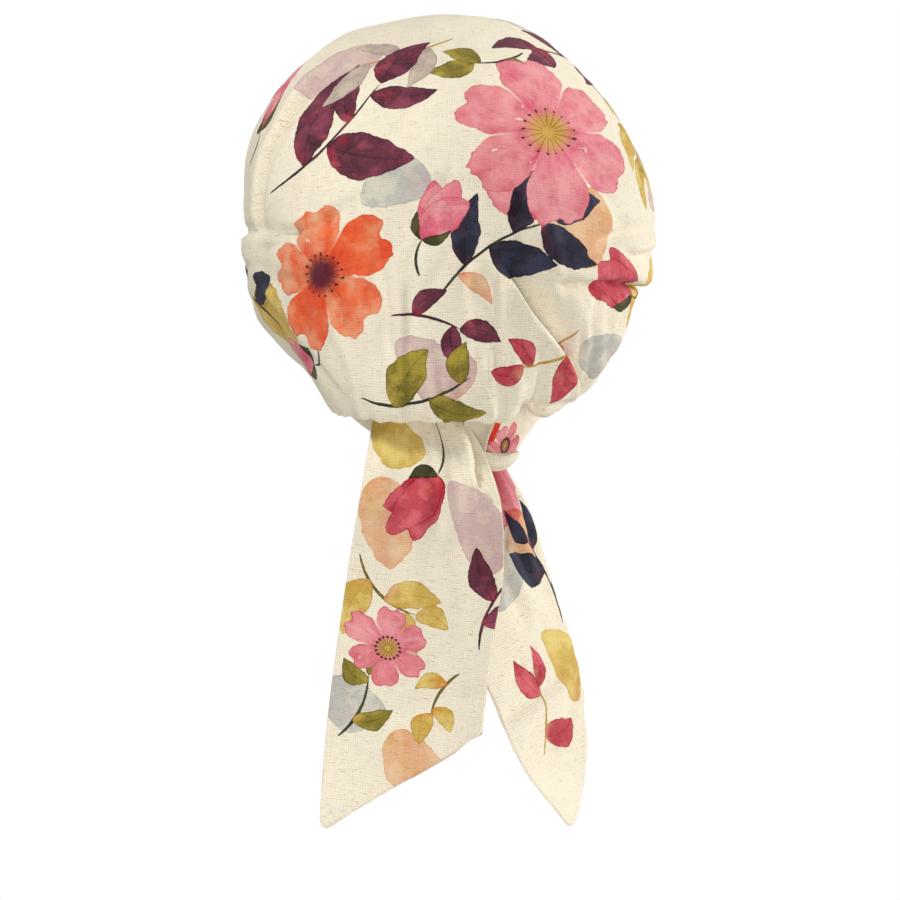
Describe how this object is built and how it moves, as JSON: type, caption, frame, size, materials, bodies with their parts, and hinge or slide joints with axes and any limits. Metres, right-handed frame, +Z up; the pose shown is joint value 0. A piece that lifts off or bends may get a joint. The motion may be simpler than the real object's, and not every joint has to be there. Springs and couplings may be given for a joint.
{
  "type": "turban",
  "caption": "Soft printed-cloth turban with a full gathered crown over a sloping head band, knotted at the nape, with wide slant-cut tie ends hanging from the knot",
  "frame": {"origin": "middle of the head opening, where the turban sits on the head: midway between the band's lower edge at the forehead and at the nape", "axes": "+Z up, +Y the way the wearer faces, +X the wearer's right"},
  "size_m": [0.2592, 0.257, 0.5015],
  "materials": {
    "printed_cloth": "woven"
  },
  "bodies": {
    "root": {"crown": "printed_cloth", "band": "printed_cloth", "knot": "printed_cloth", "tail_left": "printed_cloth", "tail_right": "printed_cloth"}
  },
  "joints": []
}
